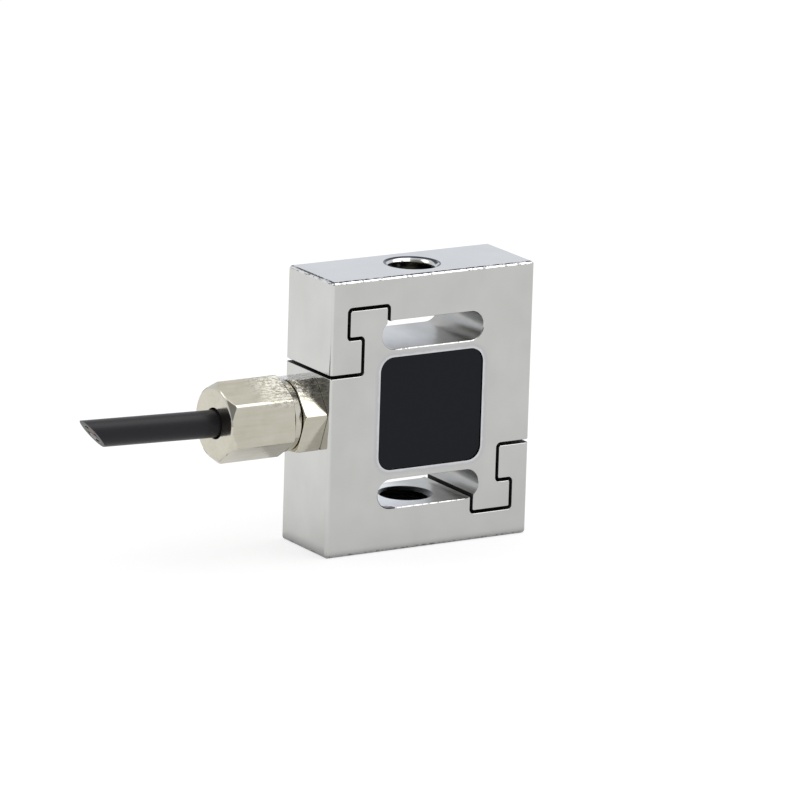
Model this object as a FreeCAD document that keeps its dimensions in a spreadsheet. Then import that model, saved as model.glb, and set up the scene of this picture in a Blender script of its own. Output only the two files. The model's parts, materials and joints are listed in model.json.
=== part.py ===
import FreeCAD, Part
import math
import os
import re
import Sketcher

# Miniature S type load cell. Frame: +Z is the load axis and points up, +X runs to the right
# along the wide face, -Y is the front. The origin is the centre of the bottom face.

SIZES = {
    # wire-cut block
    "block_width": 25.4,
    "block_height": 30.5,
    "block_depth": 9.5,
    "corner_round": 0.4,
    "top_bevel": 0.25,
    "arm_height": 4.8,
    "slot_height": 3.25,
    "slot_length": 12.8,
    "web_height": 1.0,
    # slit that forms the overload stop, measured from the middle of the block
    "slit_width": 0.4,
    "slit_bend": 0.35,
    "slit_entry": 4.83,
    "slit_shelf": 8.85,
    "slit_roof": 12.1,
    "stop_neck": 8.73,
    "stop_tip": 10.56,
    "stop_root": 5.58,
    # gauge window and its covers
    "window_width": 12.8,
    "window_round": 1.6,
    "cover_ledge": 0.45,
    "cover_seat": 0.75,
    "cover_thickness": 0.6,
    "cover_gap": 0.04,
    "cover_edge": 0.12,
    # M6 loading threads, as tap-drill holes
    "thread_bore": 5.0,
    "thread_mouth": 5.9,
    # cable port and gland
    "gland_height": 15.25,
    "port_diameter": 5.6,
    "port_depth": 4.0,
    "passage_diameter": 3.3,
    "hex_across": 7.88,
    "hex_bevel": 0.25,
    "body_hex_length": 2.8,
    "body_hex_turn": 21.5,
    "body_bevel": 0.35,
    "stud_diameter": 5.6,
    "stud_length": 3.5,
    "sleeve_diameter": 6.4,
    "sleeve_length": 5.0,
    "sleeve_bore": 5.0,
    "sleeve_seat": 1.8,
    "gland_bore": 3.2,
    "nut_gap": 0.1,
    "nut_length": 8.67,
    "nut_hex_turn": -5.0,
    "nut_blank_diameter": 8.9,
    "nut_face_diameter": 7.7,
    "nut_face_bevel": 0.62,
    "nut_collar_diameter": 7.8,
    "nut_collar_length": 0.8,
    "nut_shoulder": 0.12,
    "nut_bore": 6.4,
    "nut_wall": 1.6,
    "nut_hole": 3.3,
    "ring_thickness": 0.7,
    "ring_diameter": 6.1,
    "ring_hole": 3.5,
    "seal_mouth": 0.55,
    "o_ring_section": 0.64,
    "o_ring_diameter": 6.4,
    "o_ring_room": 0.08,
    # cable, cut off at a slant
    "cable_diameter": 3.0,
    "jacket_bore": 2.16,
    "shield_diameter": 2.16,
    "shield_bore": 1.78,
    "core_diameter": 0.72,
    "core_spread": 0.37,
    "conductor_diameter": 0.36,
    "filler_diameter": 0.32,
    "jacket_inlet": 7.0,
    "shield_inlet": 7.3,
    "filler_inlet": 7.5,
    "bend_start": 11.4,
    "bend_radius": 40.0,
    "bend_angle": 2.0,
    "end_length": 16.5,
    "cut_reach": 26.35,
    "cut_rise": 0.5,
    "cut_angle": 50.0,
    # cores inside the window
    "fan_start": 9.0,
    "fan_bend": 1.5,
    "fan_angle": 20.0,
    "fan_pad": 1.35,
    "core_strip": 0.8,
    # terminal board and its resistors
    "board_thickness": 0.5,
    "board_width": 6.6,
    "board_height": 6.8,
    "pad_thickness": 0.06,
    "pad_width": 0.6,
    "pad_height": 0.5,
    "chip_length": 1.6,
    "chip_width": 0.8,
    "chip_height": 0.45,
    "chip_core_height": 0.4,
    "chip_cap": 0.3,
    "chip_offset": 2.3,
    "chip_spread": 1.4,
    # strain gauges, leads and coatings
    "gauge_centre": 2.9,
    "gauge_length": 3.2,
    "gauge_width": 2.6,
    "gauge_backing": 0.08,
    "grid_thickness": 0.04,
    "grid_margin": 0.36,
    "grid_length": 1.7,
    "grid_line": 0.12,
    "grid_pitch": 0.24,
    "tab_length": 0.6,
    "tab_width": 0.8,
    "tab_offset": 0.65,
    "lead_diameter": 0.16,
    "lead_bend": 0.3,
    "lead_outer": 2.9,
    "lead_inner": 2.1,
    "coat_margin": 0.25,
    "coat_thickness": 0.55,
    "coat_round": 0.2,
}

doc = FreeCAD.newDocument("s_type_load_cell")
sheet = doc.addObject("Spreadsheet::Sheet", "Sizes")
for row, (alias, size) in enumerate(SIZES.items(), start=1):
    sheet.set(f"A{row}", alias)
    sheet.set(f"B{row}", str(size))
    sheet.setAlias(f"B{row}", alias)
doc.recompute()

ALIASES = re.compile(r"\b(" + "|".join(SIZES) + r")\b")
# derived sizes, used in formulas below
WINDOW_HEIGHT = "(block_height - 2 * (arm_height + slot_height + web_height))"
INNER_WIDTH = "(window_width - 2 * cover_ledge)"
INNER_HEIGHT = f"({WINDOW_HEIGHT} - 2 * cover_ledge)"
SLOT_CENTRE = "(block_height / 2 - arm_height - slot_height / 2)"
BOARD_FACE = f"({INNER_WIDTH} / 2 - board_thickness - pad_thickness)"
GLAND_OFFSET = "(gland_height - block_height / 2)"
GLAND_REACH = "(body_hex_length + nut_gap + nut_length)"
HEX_CORNER = "(hex_across / sqrt(3))"
# lengths of cuts that go right through
THROUGH_BLOCK = "(2 * block_depth)"
THROUGH_GLAND = f"(2 * {GLAND_REACH})"
THROUGH_CABLE = "(2 * cable_diameter)"

parts = []


# ---------------------------------------------------------------- formulas and sketches

def linked(formula):
    """The formula as an expression that reads the spreadsheet."""
    return ALIASES.sub(r"Sizes.\1", formula)


def value(formula):
    """The present value of a formula of the sheet's sizes."""
    return float(sheet.evalExpression(linked(formula)))


def bind(item, prop, formula):
    item.setExpression(prop, linked(formula))


def constrain(sketch, kind, *places, size=None):
    """Adds a constraint, and ties its size to a formula where it has one."""
    if size is None:
        sketch.addConstraint(Sketcher.Constraint(kind, *places))
        return
    start = value(size)
    if kind == "Angle":
        start = math.radians(start)
    index = sketch.addConstraint(Sketcher.Constraint(kind, *places, start))
    bind(sketch, f"Constraints[{index}]", size)


def make_body(label, x="0", y="0", z="0", axis=(0, 0, 1), turn="0"):
    """A body that is one of the load cell's pieces, placed and turned about its own origin."""
    body = doc.addObject("PartDesign::Body", label)
    body.Label = label
    rotation = FreeCAD.Rotation(FreeCAD.Vector(*axis), value(turn))
    body.Placement = FreeCAD.Placement(FreeCAD.Vector(), rotation)
    bind(body, "Placement.Base.x", x)
    bind(body, "Placement.Base.y", y)
    bind(body, "Placement.Base.z", z)
    parts.append(body)
    return body


def origin_feature(body, role):
    return next(item for item in body.Origin.OriginFeatures if item.Role == role)


def make_sketch(body, name, plane, shift="0"):
    """A sketch on one of the body's origin planes, moved along that plane's normal."""
    sketch = body.newObject("Sketcher::SketchObject", name)
    sketch.AttachmentSupport = [(origin_feature(body, plane), "")]
    sketch.MapMode = "FlatFace"
    bind(sketch, "AttachmentOffset.Base.z", shift)
    return sketch


def point(x, y):
    return FreeCAD.Vector(x, y, 0)


def draw_polygon(sketch, corners):
    """A closed outline through corners given as pairs of formulas."""
    places = [point(value(x), value(y)) for x, y in corners]
    lines = []
    for start, end in zip(places, places[1:] + places[:1]):
        lines.append(sketch.addGeometry(Part.LineSegment(start, end)))
    for line, following in zip(lines, lines[1:] + lines[:1]):
        constrain(sketch, "Coincident", line, 2, following, 1)
    for line, (x, y) in zip(lines, corners):
        constrain(sketch, "DistanceX", line, 1, size=x)
        constrain(sketch, "DistanceY", line, 1, size=y)


def draw_box(sketch, x, y, width, height):
    """A plain rectangle about a centre."""
    left, right = f"{x} - ({width}) / 2", f"{x} + ({width}) / 2"
    low, high = f"{y} - ({height}) / 2", f"{y} + ({height}) / 2"
    draw_polygon(sketch, [(left, low), (right, low), (right, high), (left, high)])


def draw_circle(sketch, diameter, x="0", y="0"):
    centre = point(value(x), value(y))
    circle = sketch.addGeometry(Part.Circle(centre, FreeCAD.Vector(0, 0, 1), value(diameter) / 2))
    constrain(sketch, "Diameter", circle, size=diameter)
    constrain(sketch, "DistanceX", circle, 3, size=x)
    constrain(sketch, "DistanceY", circle, 3, size=y)


def draw_hexagon(sketch, across):
    """A hexagon about the origin, with a flat on each side of the sketch's X axis."""
    corner = f"{across} / sqrt(3)"
    turns = range(30, 390, 60)
    draw_polygon(sketch, [(f"{corner} * cos({t})", f"{corner} * sin({t})") for t in turns])


def draw_run(sketch, x, y, legs):
    """An open path of tangent lines and arcs, setting out from (x, y) along the -X direction.

    A leg is ("line", length) or ("arc", radius, angle, side), where side is 1 for a turn to
    the left and -1 for a turn to the right.
    """
    heading = math.pi
    place = point(value(x), value(y))
    previous = None
    for leg in legs:
        along = point(math.cos(heading), math.sin(heading))
        if leg[0] == "line":
            end = place + along * value(leg[1])
            item = sketch.addGeometry(Part.LineSegment(place, end))
            first, last = 1, 2
            constrain(sketch, "Distance", item, size=leg[1])
        else:
            radius, sweep, side = value(leg[1]), math.radians(value(leg[2])), leg[3]
            to_centre = point(-math.sin(heading), math.cos(heading)) * (radius * side)
            centre = place + to_centre
            start_angle = math.atan2(-to_centre.y, -to_centre.x)
            bounds = sorted((start_angle, start_angle + sweep * side))
            full = Part.Circle(centre, FreeCAD.Vector(0, 0, 1), radius)
            item = sketch.addGeometry(Part.ArcOfCircle(full, *bounds))
            first, last = (1, 2) if side > 0 else (2, 1)
            heading += sweep * side
            out = start_angle + sweep * side
            end = centre + point(math.cos(out), math.sin(out)) * radius
            constrain(sketch, "Radius", item, size=leg[1])
            constrain(sketch, "Angle", item, size=leg[2])
        if previous is None:
            constrain(sketch, "Horizontal", item)
            constrain(sketch, "DistanceX", item, first, size=x)
            constrain(sketch, "DistanceY", item, first, size=y)
        else:
            constrain(sketch, "Tangent", previous[0], previous[1], item, first)
        previous = (item, last)
        place = end


def draw_rounded(sketch, legs, radius, closed):
    """Level and upright lines joined by equal rounds.

    A leg is ("level", y) or ("upright", x), and levels and uprights take turns. An open path
    starts and ends with a pair of formulas, the places of its two ends.
    """
    if not closed:
        start, end = legs[0], legs[-1]
        legs = legs[1:-1]
    count = len(legs)
    crossings = []
    for index in range(count if closed else count - 1):
        here, there = legs[index], legs[(index + 1) % count]
        level, upright = (here, there) if here[0] == "level" else (there, here)
        crossings.append(point(value(upright[1]), value(level[1])))
    if closed:
        starts = crossings[-1:] + crossings[:-1]
        ends = crossings
    else:
        starts = [point(value(start[0]), value(start[1]))] + crossings
        ends = crossings + [point(value(end[0]), value(end[1]))]
    trim = value(radius)
    lines = []
    for index, (kind, place) in enumerate(legs):
        along = (ends[index] - starts[index]).normalize()
        head = starts[index] + along * (trim if closed or index > 0 else 0)
        tail = ends[index] - along * (trim if closed or index < count - 1 else 0)
        line = sketch.addGeometry(Part.LineSegment(head, tail))
        constrain(sketch, "Horizontal" if kind == "level" else "Vertical", line)
        constrain(sketch, "DistanceY" if kind == "level" else "DistanceX", line, 1, size=place)
        lines.append((line, along))
    if not closed:
        free = {"level": ("DistanceX", 0), "upright": ("DistanceY", 1)}
        for line, spot, kind, where in ((lines[0][0], start, legs[0][0], 1),
                                        (lines[-1][0], end, legs[-1][0], 2)):
            constraint, coordinate = free[kind]
            constrain(sketch, constraint, line, where, size=spot[coordinate])
    for index, corner in enumerate(crossings):
        line, along = lines[index]
        following, onward = lines[(index + 1) % count]
        centre = corner - along * trim + onward * trim
        side = 1 if along.cross(onward).z > 0 else -1
        spoke = corner - along * trim - centre
        first_angle = math.atan2(spoke.y, spoke.x)
        bounds = sorted((first_angle, first_angle + side * math.pi / 2))
        full = Part.Circle(centre, FreeCAD.Vector(0, 0, 1), trim)
        arc = sketch.addGeometry(Part.ArcOfCircle(full, *bounds))
        first, last = (1, 2) if side > 0 else (2, 1)
        constrain(sketch, "Tangent", line, 2, arc, first)
        constrain(sketch, "Tangent", arc, last, following, 1)
        constrain(sketch, "Radius", arc, size=radius)


def draw_obround(sketch, y, length, height):
    """A level slot with round ends, centred on the sketch's Y axis."""
    radius = value(height) / 2
    reach = value(length) / 2 - radius
    middle = value(y)
    spin = FreeCAD.Vector(0, 0, 1)
    top = sketch.addGeometry(Part.LineSegment(point(reach, middle + radius),
                                              point(-reach, middle + radius)))
    low = sketch.addGeometry(Part.LineSegment(point(-reach, middle - radius),
                                              point(reach, middle - radius)))
    left = sketch.addGeometry(Part.ArcOfCircle(Part.Circle(point(-reach, middle), spin, radius),
                                               math.pi / 2, math.pi * 3 / 2))
    right = sketch.addGeometry(Part.ArcOfCircle(Part.Circle(point(reach, middle), spin, radius),
                                                -math.pi / 2, math.pi / 2))
    constrain(sketch, "Horizontal", top)
    constrain(sketch, "Horizontal", low)
    constrain(sketch, "Tangent", top, 2, left, 1)
    constrain(sketch, "Tangent", left, 2, low, 1)
    constrain(sketch, "Tangent", low, 2, right, 1)
    constrain(sketch, "Tangent", right, 2, top, 1)
    constrain(sketch, "Radius", left, size=f"{height} / 2")
    constrain(sketch, "DistanceX", left, 3, size=f"{height} / 2 - {length} / 2")
    constrain(sketch, "DistanceY", left, 3, size=y)
    constrain(sketch, "DistanceX", right, 3, size=f"{length} / 2 - {height} / 2")


def draw_window(sketch, width, height, radius):
    """A rectangle with round corners about the origin."""
    draw_rounded(sketch, [
        ("upright", f"-{width} / 2"),
        ("level", f"-{height} / 2"),
        ("upright", f"{width} / 2"),
        ("level", f"{height} / 2"),
    ], radius, closed=True)


# ---------------------------------------------------------------- features

def pad(body, name, sketch, length, centred=False, reverse=False):
    feature = body.newObject("PartDesign::Pad", name)
    feature.Profile = sketch
    bind(feature, "Length", length)
    feature.Midplane = centred
    feature.Reversed = reverse
    doc.recompute()
    return feature


def pocket(body, name, sketch, length, centred=False, reverse=False):
    """A pocket that must take material away."""
    before = body.Shape.Volume
    feature = body.newObject("PartDesign::Pocket", name)
    feature.Profile = sketch
    bind(feature, "Length", length)
    feature.Midplane = centred
    feature.Reversed = reverse
    doc.recompute()
    if body.Shape.Volume > before - 1e-6:
        raise RuntimeError(f"{body.Label}.{name} cuts nothing")
    return feature


def revolve(body, name, sketch):
    """A turned solid about the sketch's level axis."""
    feature = body.newObject("PartDesign::Revolution", name)
    feature.Profile = sketch
    feature.ReferenceAxis = (sketch, ["H_Axis"])
    feature.Angle = 360
    doc.recompute()
    return feature


def pipe(body, kind, name, section, spine):
    feature = body.newObject(f"PartDesign::{kind}", name)
    feature.Profile = section
    feature.Spine = (spine, [])
    doc.recompute()
    return feature


def mirror(body, name, originals, plane):
    feature = body.newObject("PartDesign::Mirrored", name)
    feature.Originals = originals
    feature.MirrorPlane = (origin_feature(body, plane), [""])
    body.Tip = feature
    doc.recompute()
    return feature


def edges_where(shape, wanted):
    return [f"Edge{n}" for n, edge in enumerate(shape.Edges, start=1) if wanted(edge)]


def soften(body, kind, name, base, size, wanted):
    """A fillet or chamfer on the edges of the base feature that are wanted."""
    feature = body.newObject(f"PartDesign::{kind}", name)
    feature.Base = (base, edges_where(base.Shape, wanted))
    bind(feature, "Radius" if kind == "Fillet" else "Size", size)
    doc.recompute()
    return feature


def level_at(height):
    """Picks edges that lie wholly at one height."""
    return lambda edge: all(abs(v.Z - height) < 1e-4 for v in edge.Vertexes)


# ---------------------------------------------------------------- wire-cut block

def make_block():
    body = make_body("s_beam_body", z="block_height / 2")
    outline = make_sketch(body, "block_outline", "XZ_Plane")
    draw_box(outline, "0", "0", "block_width", "block_height")
    block = pad(body, "block", outline, "block_depth", centred=True)
    half = value("block_height / 2")

    def upright(edge):
        low, high = sorted(v.Z for v in edge.Vertexes)
        return high - low > half
    rounded = soften(body, "Fillet", "upright_rounds", block, "corner_round", upright)
    foot = soften(body, "Fillet", "bottom_round", rounded, "corner_round", level_at(-half))
    soften(body, "Chamfer", "top_edge", foot, "top_bevel", level_at(half))

    # one slot and one stop slit, then the same pair turned half a turn about the depth axis
    slot_sketch = make_sketch(body, "slot_outline", "XZ_Plane")
    draw_obround(slot_sketch, SLOT_CENTRE, "slot_length", "slot_height")
    slot = pocket(body, "slot", slot_sketch, THROUGH_BLOCK, centred=True)
    slit_start = "(-block_width / 2 - slit_width)"
    route = make_sketch(body, "slit_route", "XZ_Plane")
    draw_rounded(route, [
        (slit_start, "slit_entry"),
        ("level", "slit_entry"),
        ("upright", "-stop_neck"),
        ("level", "slit_shelf"),
        ("upright", "-stop_tip"),
        ("level", "slit_roof"),
        ("upright", "-stop_root"),
        ("-stop_root", SLOT_CENTRE),
    ], "slit_bend", closed=False)
    wire = make_sketch(body, "slit_section", "YZ_Plane", shift=slit_start)
    draw_box(wire, "0", "slit_entry", THROUGH_BLOCK, "slit_width")
    slit = pipe(body, "SubtractivePipe", "stop_slit", wire, route)
    turned = body.newObject("PartDesign::PolarPattern", "turned_pair")
    turned.Originals = [slot, slit]
    turned.Axis = (origin_feature(body, "Y_Axis"), [""])
    turned.Angle = 360
    turned.Occurrences = 2
    body.Tip = turned
    doc.recompute()

    # gauge window with a ledge for a cover on each side
    window_sketch = make_sketch(body, "window_outline", "XZ_Plane")
    draw_window(window_sketch, INNER_WIDTH, INNER_HEIGHT, "(window_round - cover_ledge)")
    pocket(body, "window", window_sketch, THROUGH_BLOCK, centred=True)
    seat_sketch = make_sketch(body, "seat_outline", "XZ_Plane", shift="block_depth / 2")
    draw_window(seat_sketch, "window_width", WINDOW_HEIGHT, "window_round")
    seat = pocket(body, "cover_seat_front", seat_sketch, "cover_seat")
    mirror(body, "cover_seat_rear", [seat], "XZ_Plane")

    # loading threads through both arms, as tap-drill holes with countersunk mouths
    thread_sketch = make_sketch(body, "thread_centre", "XY_Plane", shift="block_height / 2")
    draw_circle(thread_sketch, "thread_bore")
    thread = pocket(body, "top_thread_bore", thread_sketch, "arm_height + slot_height / 2")
    bores = mirror(body, "bottom_thread_bore", [thread], "XY_Plane")
    bore_size = value("thread_bore")

    def bore_mouth(edge):
        box = edge.BoundBox
        level_circle = edge.isClosed() and box.ZLength < 1e-3
        return level_circle and abs(box.XLength - bore_size) < 1e-2 and abs(box.Center.x) < 1e-3
    soften(body, "Chamfer", "thread_mouths", bores, "(thread_mouth - thread_bore) / 2", bore_mouth)

    # tapped port for the gland, and the passage on to the window
    port_sketch = make_sketch(body, "port_outline", "YZ_Plane", shift="-block_width / 2")
    draw_circle(port_sketch, "port_diameter", "0", GLAND_OFFSET)
    pocket(body, "gland_port", port_sketch, "port_depth", reverse=True)
    passage_sketch = make_sketch(body, "passage_outline", "YZ_Plane", shift="-block_width / 2")
    draw_circle(passage_sketch, "passage_diameter", "0", GLAND_OFFSET)
    pocket(body, "cable_passage", passage_sketch,
           f"(block_width - {INNER_WIDTH}) / 2 + cover_ledge", reverse=True)


def make_cover(label, turn):
    """A thin black plate that fills the ledge, with a softened outer edge."""
    body = make_body(label, z="block_height / 2", turn=turn)
    floor = "block_depth / 2 - cover_seat"
    outline = make_sketch(body, "plate_outline", "XZ_Plane", shift=floor)
    draw_window(outline, "(window_width - 2 * cover_gap)", f"({WINDOW_HEIGHT} - 2 * cover_gap)",
                "(window_round - cover_gap)")
    plate = pad(body, "plate", outline, "cover_thickness")
    face = -value(f"{floor} + cover_thickness")
    soften(body, "Fillet", "outer_edge", plate, "cover_edge",
           lambda edge: all(abs(v.Y - face) < 1e-4 for v in edge.Vertexes))


# ---------------------------------------------------------------- gland, along the port's axis

def make_turned(label, profile, turn="0"):
    """A piece turned about the port's axis; its profile holds (x, radius) from the block's face."""
    body = make_body(label, x="-block_width / 2", z="gland_height", axis=(1, 0, 0), turn=turn)
    sketch = make_sketch(body, "profile", "XZ_Plane")
    draw_polygon(sketch, profile)
    revolve(body, "turning", sketch)
    return body


def cut_flats(body):
    """Mills a hexagon into the turned blank."""
    sketch = make_sketch(body, "flats", "YZ_Plane")
    draw_hexagon(sketch, "hex_across")
    draw_circle(sketch, f"3 * {HEX_CORNER}")
    pocket(body, "hexagon", sketch, THROUGH_GLAND, centred=True)


def make_gland_body():
    sleeve_end = "(-body_hex_length - sleeve_length)"
    groove_radius = "((o_ring_diameter + o_ring_section) / 2 + o_ring_room)"
    body = make_turned("gland_body", [
        ("stud_length", "gland_bore / 2"),
        ("stud_length", "stud_diameter / 2 - body_bevel"),
        ("stud_length - body_bevel", "stud_diameter / 2"),
        ("-o_ring_section", "stud_diameter / 2"),
        ("-o_ring_section", groove_radius),
        ("0", groove_radius),
        ("0", f"{HEX_CORNER} - hex_bevel"),
        ("-hex_bevel / 2", HEX_CORNER),
        ("-body_hex_length + hex_bevel / 2", HEX_CORNER),
        ("-body_hex_length", f"{HEX_CORNER} - hex_bevel"),
        ("-body_hex_length", "sleeve_diameter / 2"),
        (f"{sleeve_end} + body_bevel", "sleeve_diameter / 2"),
        (sleeve_end, "sleeve_diameter / 2 - body_bevel"),
        (sleeve_end, "sleeve_bore / 2"),
        ("-body_hex_length - sleeve_seat", "sleeve_bore / 2"),
        ("-body_hex_length - sleeve_seat", "gland_bore / 2"),
    ], turn="body_hex_turn")
    cut_flats(body)


def make_gland_nut():
    """A long hexagonal nut, milled from a round blank that leaves its corners blunt."""
    near = "(-body_hex_length - nut_gap)"
    far = f"(-{GLAND_REACH})"
    collar = f"({near} - nut_collar_length)"
    body = make_turned("gland_nut", [
        (near, "nut_bore / 2 + body_bevel / 2"),
        (near, "nut_collar_diameter / 2"),
        (collar, "nut_collar_diameter / 2"),
        (f"{collar} - nut_shoulder", "nut_blank_diameter / 2"),
        (f"{far} + nut_face_bevel", "nut_blank_diameter / 2"),
        (far, "nut_face_diameter / 2"),
        (far, "nut_hole / 2"),
        (f"{far} + nut_wall", "nut_hole / 2"),
        (f"{far} + nut_wall", "nut_bore / 2"),
        (f"{near} - body_bevel / 2", "nut_bore / 2"),
    ], turn="nut_hex_turn")
    cut_flats(body)


def make_gland_inner():
    """The clamp ring, the rubber bush that it squeezes, and the O-ring under the hexagon."""
    wall = f"(nut_wall - {GLAND_REACH})"
    make_turned("gland_clamp_ring", [
        (wall, "ring_hole / 2"),
        (f"{wall} + ring_thickness", "ring_hole / 2"),
        (f"{wall} + ring_thickness", "ring_diameter / 2"),
        (wall, "ring_diameter / 2"),
    ])
    seat = "(-body_hex_length - sleeve_seat)"
    mouth = "(-body_hex_length - sleeve_length)"
    make_turned("gland_seal", [
        (seat, "cable_diameter / 2"),
        (seat, "sleeve_bore / 2"),
        (mouth, "sleeve_bore / 2"),
        (f"{wall} + ring_thickness", "sleeve_bore / 2 - seal_mouth"),
        (f"{wall} + ring_thickness", "cable_diameter / 2"),
    ])
    ring = make_body("gland_o_ring", x="-block_width / 2", z="gland_height")
    section = make_sketch(ring, "section", "XZ_Plane")
    draw_circle(section, "o_ring_section", "-o_ring_section / 2", "o_ring_diameter / 2")
    revolve(ring, "ring", section)


# ---------------------------------------------------------------- cable

CUT_SIDE = "(3 * cable_diameter)"


def cable_legs(straight, offset):
    """The cable's route outside the port, at a height above its centre line.

    straight is the length of the leading line, up to where the cable starts to rise.
    """
    return [
        ("line", straight),
        ("arc", f"bend_radius - ({offset})", "bend_angle", -1),
        ("line", "end_length"),
    ]


def cut_cable_end(body):
    """Cuts the free end at a slant, through the point where the cutters crossed the cable."""
    sketch = make_sketch(body, "cutter", "XZ_Plane")
    run, rise = f"{CUT_SIDE} * cos(cut_angle)", f"{CUT_SIDE} * sin(cut_angle)"
    high = (f"-cut_reach - {run}", f"cut_rise + {rise}")
    low = (f"-cut_reach + {run}", f"cut_rise - {rise}")
    far = (high[0], low[1])
    draw_polygon(sketch, [high, far, low])
    pocket(body, "slanted_cut", sketch, THROUGH_CABLE, centred=True)


def make_strand(label, section, inlet, legs, y="0", z="0"):
    """A round or hollow strand of the cable, swept outwards from x = inlet and cut at its end."""
    body = make_body(label, x="-block_width / 2", z="gland_height")
    spine = make_sketch(body, "route", "XZ_Plane", shift=f"-({y})")
    draw_run(spine, inlet, z, legs)
    ring = make_sketch(body, "section", "YZ_Plane", shift=inlet)
    for diameter in section:
        draw_circle(ring, diameter, y, z)
    pipe(body, "AdditivePipe", "strand", ring, spine)
    cut_cable_end(body)


def make_layer(label, section, inlet):
    """A piece that keeps to the cable's centre line."""
    make_strand(label, section, inlet, cable_legs(f"{inlet} + bend_start", "0"))


def make_core(colour, side, level, fans):
    """An insulated core and its conductor, from their pad on the terminal board to the cut end."""
    y, z = f"{side} * core_spread", f"{level} * core_spread"
    pad_place = f"(block_width / 2 + {BOARD_FACE})"
    start_height = f"{level} * fan_pad" if fans else z
    climb = "(fan_pad - core_spread - 2 * fan_bend * (1 - cos(fan_angle)))"
    slope = f"({climb} / sin(fan_angle))"
    fan_reach = f"(2 * fan_bend * sin(fan_angle) + {slope} * cos(fan_angle))"
    for label, strip, diameter in ((f"core_{colour}", "core_strip", "core_diameter"),
                                   (f"conductor_{colour}", "0", "conductor_diameter")):
        inlet = f"({pad_place} - {strip})"
        section = [diameter]
        if strip != "0":
            section.append("conductor_diameter")
        if fans:
            legs = [
                ("line", f"{inlet} - fan_start - {fan_reach}"),
                ("arc", "fan_bend", "fan_angle", level),
                ("line", slope),
                ("arc", "fan_bend", "fan_angle", -level),
            ] + cable_legs("fan_start + bend_start", z)
        else:
            legs = cable_legs(f"{inlet} + bend_start", z)
        make_strand(label, section, inlet, legs, y=y, z=start_height)


def make_cable():
    make_layer("cable_jacket", ["cable_diameter", "jacket_bore"], "jacket_inlet")
    make_layer("cable_shield", ["shield_diameter", "shield_bore"], "shield_inlet")
    make_layer("cable_filler", ["filler_diameter"], "filler_inlet")
    make_core("red", -1, 1, True)
    make_core("green", 1, 1, False)
    make_core("black", -1, -1, False)
    make_core("white", 1, -1, True)


# ---------------------------------------------------------------- inside the window

GAUGE_SIDES = {"left": -1, "right": 1}
GAUGE_WALLS = {"upper": 1, "lower": -1}


def pad_places():
    """Centres (y, z) of the solder pads on the board: cable cores first, then gauge leads."""
    places = []
    for side, level, height in ((-1, 1, "fan_pad"), (1, 1, "core_spread"),
                                (-1, -1, "core_spread"), (1, -1, "fan_pad")):
        places.append((f"{side} * core_spread", f"{GLAND_OFFSET} + {level} * {height}"))
    for wall in GAUGE_WALLS.values():
        for height in ("lead_outer", "lead_inner"):
            for side in (-1, 1):
                places.append((f"{side} * tab_offset", f"{wall} * {height}"))
    return places


def make_board():
    """The terminal board stands on the window's right wall, with its pads facing the cable."""
    body = make_body("terminal_board", z="block_height / 2")
    outline = make_sketch(body, "board_outline", "YZ_Plane", shift=f"{INNER_WIDTH} / 2")
    draw_box(outline, "0", "0", "board_width", "board_height")
    pad(body, "board", outline, "board_thickness", reverse=True)
    pads = make_sketch(body, "pad_outlines", "YZ_Plane",
                       shift=f"{INNER_WIDTH} / 2 - board_thickness")
    for y, z in pad_places():
        draw_box(pads, y, z, "pad_width", "pad_height")
    pad(body, "solder_pads", pads, "pad_thickness", reverse=True)


def make_chip(label, y, z):
    """A chip resistor with a cap at each end, soldered to the board."""
    body = make_body(label, x=f"{INNER_WIDTH} / 2 - board_thickness", y=y, z=f"block_height / 2 + {z}")
    core = make_sketch(body, "core_outline", "YZ_Plane")
    draw_box(core, "0", "0", "chip_width", "chip_length - chip_cap")
    pad(body, "core", core, "chip_core_height", reverse=True)
    caps = make_sketch(body, "cap_outlines", "YZ_Plane")
    for end in (-1, 1):
        draw_box(caps, "0", f"{end} * (chip_length - chip_cap) / 2", "chip_width", "chip_cap")
    pad(body, "end_caps", caps, "chip_height", reverse=True)


GRID_LINES = 8
GRID_START = "(-gauge_length / 2 + grid_margin)"
GRID_END = f"({GRID_START} + grid_length)"
TAB_CENTRE = "(gauge_length / 2 - tab_length / 2 - grid_line)"


def make_gauge(label, side, wall):
    """A foil gauge on the window's upper or lower wall, with its tabs towards the board."""
    body = make_body(label, x=f"{side} * gauge_centre",
                     z=f"block_height / 2 + {wall} * {INNER_HEIGHT} / 2",
                     axis=(1, 0, 0), turn="0" if wall < 0 else "180")
    backing = make_sketch(body, "backing_outline", "XY_Plane")
    draw_box(backing, "0", "0", "gauge_length", "gauge_width")
    pad(body, "backing", backing, "gauge_backing")

    def lane(index):
        return f"({index - (GRID_LINES - 1) / 2} * grid_pitch)"
    lines = make_sketch(body, "grid_lines", "XY_Plane", shift="gauge_backing")
    tab_start = f"({TAB_CENTRE} - tab_length / 2)"
    for index in range(GRID_LINES):
        # the two outer lines run on to the tabs
        end = tab_start if index in (0, GRID_LINES - 1) else GRID_END
        draw_box(lines, f"({GRID_START} + {end}) / 2", lane(index), f"({end} - {GRID_START})",
                 "grid_line")
    pad(body, "grid", lines, "grid_thickness")
    loops = make_sketch(body, "grid_loops", "XY_Plane", shift="gauge_backing")
    for index in range(GRID_LINES - 1):
        place = f"{GRID_START} - grid_line / 2" if index % 2 == 0 else f"{GRID_END} + grid_line / 2"
        draw_box(loops, place, lane(index + 0.5), "grid_line", "(grid_pitch + grid_line)")
    for offset in (-1, 1):
        draw_box(loops, TAB_CENTRE, f"{offset} * tab_offset", "tab_length", "tab_width")
    pad(body, "loops_and_tabs", loops, "grid_thickness")
    return body


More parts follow.
